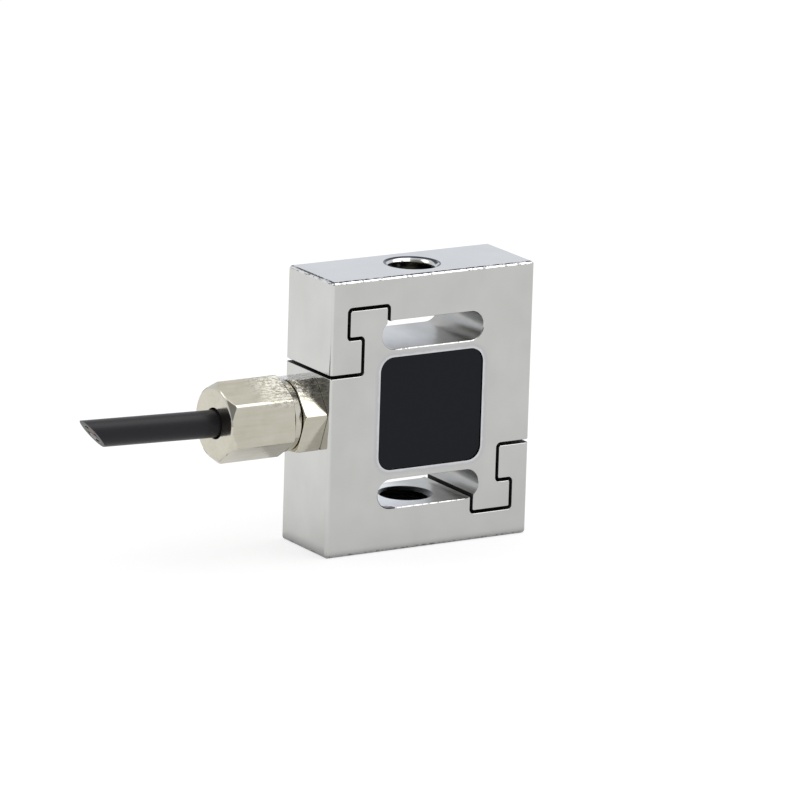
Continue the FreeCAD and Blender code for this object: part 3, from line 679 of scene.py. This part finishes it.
def with_dark_patch(tree, colour):
    """Puts a dark patch in one corner of the lower slot."""
    place = add(tree, "ShaderNodeTexCoord").outputs["Object"]
    off = add(tree, "ShaderNodeVectorMath", {"operation": "DISTANCE"}, _0=place, _1=DARK_PATCH)
    ragged = spread(tree, noise(tree, millimetres(tree), 2.5, 3.0), -0.5 * MM, 0.5 * MM)
    edge = calculate(tree, "ADD", off.outputs["Value"], ragged)
    clear = ramp(tree, edge, DARK_PATCH_SIZE, DARK_PATCH_SIZE + DARK_PATCH_FADE)
    patch_colour = (0.012, 0.009, 0.014)
    return blend_colours(tree, clear, patch_colour, colour)


def wire_cut_nickel():
    """The slots' walls, grained along the wire: painted reflection makes them bright on the left
    and brighter in the upper slot, and painted shade makes them dull on the right.
    """
    material, tree, shader = new_material("nickel_slot", (0.45, 0.45, 0.44), 0.28, 1.0)
    grain = noise(tree, millimetres(tree, (1, 0.1, 1)), 6.0, 3.0)
    cloud = noise(tree, millimetres(tree), 0.45, 2.0)
    along = calculate(tree, "ADD", axes(tree)[0], spread(tree, cloud, -1.2 * MM, 1.2 * MM))
    # painted shade towards the right end
    dull = blend_colours(tree, cloud, (0.38, 0.38, 0.365), (0.48, 0.48, 0.47))
    lower = calculate(tree, "LESS_THAN", axes(tree)[2], BLOCK_CENTRE.z)
    # painted reflection on the left, brighter in the upper slot than in the lower
    bright = blend_colours(tree, lower, (0.62, 0.622, 0.62), (0.80, 0.81, 0.83))
    walls = blend_colours(tree, ramp(tree, along, -0.5 * MM, 2.5 * MM), bright, dull)
    tree.links.new(with_dark_patch(tree, walls), shader.inputs["Base Color"])
    tree.links.new(spread(tree, grain, 0.24, 0.36), shader.inputs["Roughness"])
    bump(tree, shader, (grain, 0.0006 * MM), (cloud, 0.004 * MM))
    return material


def warm_nickel():
    """Bright nickel over milled brass: level streaks, and towards the block a patch of pits whose
    bright and dark specks are painted reflection.
    """
    material, tree, shader = new_material("nickel_gland", (0.58, 0.56, 0.50), 0.12, 1.0)
    streaks = noise(tree, millimetres(tree, (0.12, 1.6, 1.6)), 1.5, 4.0, 0.6)
    cloud = noise(tree, millimetres(tree), 0.6, 3.0)
    pits = noise(tree, millimetres(tree, (0.8, 1.8, 1.8)), 2.4, 4.0, 0.7)
    across = axes(tree)
    rightwards = ramp(tree, across[0], NUT_LOW.x + 3.2 * MM, NUT_LOW.x + 6.5 * MM)
    upwards = ramp(tree, across[2], GLAND_AXIS + 1.6 * MM, GLAND_AXIS + 3.2 * MM)
    patch = calculate(tree, "MULTIPLY", rightwards, upwards)
    pitted = calculate(tree, "MULTIPLY", pits, patch)
    mottled = calculate(tree, "ADD", calculate(tree, "MULTIPLY", cloud, 0.5),
                        calculate(tree, "MULTIPLY", streaks, 0.5))
    darker, lighter = (0.535, 0.505, 0.415), (0.62, 0.595, 0.515)
    # the specks' colours are painted reflection; the pits themselves are a bump
    painted_dark_speck, painted_bright_speck = (0.24, 0.21, 0.16), (0.80, 0.785, 0.74)
    plate = blend_colours(tree, ramp(tree, mottled, 0.3, 0.7), darker, lighter)
    painted_specks = blend_colours(tree, ramp(tree, pits, 0.44, 0.54), painted_dark_speck, painted_bright_speck)
    tint = blend_colours(tree, calculate(tree, "MULTIPLY", patch, 0.8), plate, painted_specks)
    tree.links.new(tint, shader.inputs["Base Color"])
    tree.links.new(spread(tree, streaks, 0.08, 0.2), shader.inputs["Roughness"])
    bump(tree, shader, (streaks, 0.004 * MM), (cloud, 0.004 * MM), (pitted, 0.03 * MM))
    return material


def plain(name, colour, roughness, metallic=0.0, variation=0.12, scale=1.5, depth=0.001,
          **sockets):
    """A material with a little unevenness in its colour, gloss and surface."""
    material, tree, shader = new_material(name, colour, roughness, metallic, **sockets)
    cloud = noise(tree, millimetres(tree), scale, 4.0)
    darker = tuple(c * (1 - variation) for c in colour)
    lighter = tuple(min(1.0, c * (1 + variation)) for c in colour)
    tree.links.new(blend_colours(tree, cloud, darker, lighter), shader.inputs["Base Color"])
    gloss = spread(tree, cloud, roughness * 0.9, roughness * 1.1)
    tree.links.new(gloss, shader.inputs["Roughness"])
    bump(tree, shader, (cloud, depth * MM))
    return material


SLOT_MATERIALS = {
    "nickel_plated_steel": polished_nickel(),
    "nickel_plated_brass": warm_nickel(),
    "black_cover": plain("satin_black", (0.007, 0.0085, 0.0125), 0.3,
                         Specular_IOR_Level=0.16),
    "cable_sheath": plain("sheath_black", (0.0155, 0.0145, 0.018), 0.36, depth=0.003,
                          Specular_IOR_Level=0.25),
    "bare_brass": plain("turned_brass", (0.75, 0.58, 0.28), 0.25, 1.0),
    "black_rubber": plain("seal_rubber", (0.02, 0.02, 0.02), 0.6),
    # the tinned strands are darkened with painted shade
    "tinned_copper": plain("tinned_strands", (0.13, 0.13, 0.115), 0.45, 1.0, variation=0.5,
                           scale=6.0),
    "filler_yarn": plain("filler_yarn", (0.17, 0.175, 0.15), 0.9, variation=0.5, scale=8.0,
                         depth=0.02),
    "board_laminate": plain("board_laminate", (0.05, 0.25, 0.12), 0.45),
    "chip_ceramic": plain("chip_ceramic", (0.08, 0.08, 0.09), 0.5),
    "insulation_red": plain("insulation_red", (0.22, 0.04, 0.035), 0.5),
    "insulation_green": plain("insulation_green", (0.035, 0.13, 0.06), 0.5),
    "insulation_black": plain("insulation_black", (0.03, 0.03, 0.03), 0.4),
    "insulation_white": plain("insulation_white", (0.42, 0.42, 0.38), 0.5, variation=0.05),
    "gauge_film": plain("gauge_film", (0.65, 0.42, 0.12), 0.35),
    "soft_coating": plain("soft_coating", (0.75, 0.75, 0.72), 0.3, variation=0.05),
    "enamelled_copper": plain("enamelled_copper", (0.60, 0.28, 0.14), 0.3, 1.0),
}

BLOCK_FINISHES = {
    "polish": SLOT_MATERIALS["nickel_plated_steel"],
    "roll": rolled_nickel(),
    "slot": wire_cut_nickel(),
    "slit": plain("slit_shadow", (0.030, 0.030, 0.030), 0.6, Specular_IOR_Level=0.2),
    "thread": cut_thread(),
    "painted_edge_line": painted_edge_line(),
    # the bore's mouth is dark navy with painted shade
    "mouth": plain("bore_mouth_painted_shade", (0.045, 0.052, 0.075), 0.25, 1.0, scale=2.0),
    "rim": nickel_with_painted_glints(),
}


def dress_everything():
    """Gives each node, and each detail that has no finish yet, the material of its slot."""
    slots = {p["node"]: p["material_slot"] for p in frame["record"]["subparts"]}
    for node, item in NODES.items():
        item.data.materials.clear()
        item.data.materials.append(SLOT_MATERIALS[slots[node]])
        detail = bpy.data.objects.get(f"{node}_detail")
        if detail and not detail.data.materials:
            detail.data.materials.append(SLOT_MATERIALS[slots[node]])


# ---------------------------------------------------------------- floor, world and lights

def seen_by_eye_or_mirror(tree):
    """1 for camera, glossy and transmission rays, and the Light Path node's outputs."""
    path = add(tree, "ShaderNodeLightPath").outputs
    first = calculate(tree, "MAXIMUM", path["Is Camera Ray"], path["Is Glossy Ray"])
    return calculate(tree, "MAXIMUM", first, path["Is Transmission Ray"]), path


def floor_mirror_painted_shade(tree):
    """How bright the floor looks in the metal: painted shade makes it less so in front, and a
    painted shadow darkens it at the block's foot.
    """
    place = add(tree, "ShaderNodeNewGeometry").outputs["Position"]
    forward = add(tree, "ShaderNodeVectorMath", {"operation": "DOT_PRODUCT"}, _0=place)
    forward.inputs[1].default_value = FLOOR_SLOPE
    # painted shade in front and a painted shadow at the block's foot, seen only in the metal
    front = spread(tree, forward.outputs["Value"], 1.0, PAINTED_FRONT_SHADE, -FLOOR_FADE, FLOOR_FADE)
    across = add(tree, "ShaderNodeSeparateXYZ", Vector=place).outputs
    beyond = [calculate(tree, "SUBTRACT", calculate(tree, "ABSOLUTE", axis), limit)
              for axis, limit in ((across[0], BLOCK_HIGH.x), (across[1], BLOCK_HIGH.y))]
    away = calculate(tree, "MAXIMUM", *beyond)
    painted_foot_shadow = spread(tree, away, PAINTED_FOOT_SHADOW, FOOT_LEVEL, 0.0, FOOT_REACH)
    far = spread(tree, away, 0.0, 1 - FOOT_LEVEL, FOOT_REACH, FOOT_FADE)
    return calculate(tree, "MULTIPLY", front, calculate(tree, "ADD", painted_foot_shadow, far))


def make_floor():
    """A plain pale floor that keeps the shadow, and shows painted shade in the metal."""
    mesh = bpy.data.meshes.new("floor")
    square = ((-1, -1), (1, -1), (1, 1), (-1, 1))
    corners = [(x * FLOOR_HALF, y * FLOOR_HALF, BLOCK_LOW.z - FLOOR_GAP) for x, y in square]
    mesh.from_pydata(corners, [], [(0, 1, 2, 3)])
    floor = new_object("floor", mesh)
    material = bpy.data.materials.new("pale_floor")
    material.use_nodes = True
    tree = material.node_tree
    tree.nodes.clear()
    seen, path = seen_by_eye_or_mirror(tree)
    paper = add(tree, "ShaderNodeBsdfDiffuse", Color=FLOOR_PALE)
    shaded = add(tree, "ShaderNodeBsdfDiffuse", Color=FLOOR_SHADED)
    mirrored = calculate(tree, "MULTIPLY", floor_mirror_painted_shade(tree), FLOOR_GLOW)
    strength = add(tree, "ShaderNodeMix", _0=path["Is Glossy Ray"], _2=FLOOR_GLOW, _3=mirrored)
    glow = add(tree, "ShaderNodeEmission", Color=WHITE, Strength=strength.outputs[0])
    pale = add(tree, "ShaderNodeAddShader", _0=shaded.outputs[0], _1=glow.outputs[0])
    mixed = add(tree, "ShaderNodeMixShader", _0=seen, _1=paper.outputs[0], _2=pale.outputs[0])
    out = add(tree, "ShaderNodeOutputMaterial")
    tree.links.new(mixed.outputs[0], out.inputs["Surface"])
    mesh.materials.append(material)


def make_world():
    """Even light for the object, and what the eye and the metal see beyond the floor."""
    world = bpy.data.worlds.new("studio")
    world.use_nodes = True
    bpy.context.scene.world = world
    tree = world.node_tree
    tree.nodes.clear()
    seen, path = seen_by_eye_or_mirror(tree)
    room = add(tree, "ShaderNodeBackground", Color=WHITE, Strength=ROOM_LEVEL)
    direction = add(tree, "ShaderNodeTexCoord").outputs["Generated"]
    towards = add(tree, "ShaderNodeVectorMath", {"operation": "DOT_PRODUCT"}, _0=direction)
    towards.inputs[1].default_value = DARK_CORNER
    dim = spread(tree, towards.outputs["Value"], 1.0, DARK_LEVEL, DARK_OUTER, DARK_INNER)
    height = add(tree, "ShaderNodeSeparateXYZ", Vector=direction).outputs[2]
    sky = blend_colours(tree, ramp(tree, height, SKY_LOW_UNTIL, SKY_HIGH_FROM), SKY_LOW, SKY_HIGH)
    strength = add(tree, "ShaderNodeMix", _0=path["Is Camera Ray"], _2=dim, _3=1.0)
    colour = blend_colours(tree, path["Is Camera Ray"], sky, WHITE[:3])
    shown = add(tree, "ShaderNodeBackground", Color=colour, Strength=strength.outputs[0])
    mixed = add(tree, "ShaderNodeMixShader", _0=seen, _1=room.outputs[0], _2=shown.outputs[0])
    out = add(tree, "ShaderNodeOutputWorld")
    tree.links.new(mixed.outputs[0], out.inputs["Surface"])


def softbox(name, place, size, radiance):
    """A square lamp that faces the load cell; its radiance is what a mirror shows of it."""
    data = bpy.data.lights.new(name, "AREA")
    data.shape = "SQUARE"
    data.size = size
    data.energy = radiance * math.pi * size * size
    lamp = bpy.data.objects.new(name, data)
    lamp.location = place
    lamp.rotation_euler = (Vector(place) - LAMP_AIM).to_track_quat("Z", "Y").to_euler()
    bpy.context.scene.collection.objects.link(lamp)


place_camera()
make_block()
make_gland_piece("gland_body", segments=2)
make_gland_piece("gland_nut", segments=3)
make_jacket()
make_cover("front_cover")
make_cover("rear_cover")
dress_everything()
make_floor()
make_world()
softbox("overhead", place=(0.36, -0.15, 0.80), size=0.7, radiance=1.6)
softbox("left_back", place=(-0.51, 0.32, 0.80), size=0.45, radiance=1.3)

bpy.context.scene.view_settings.view_transform = "Standard"
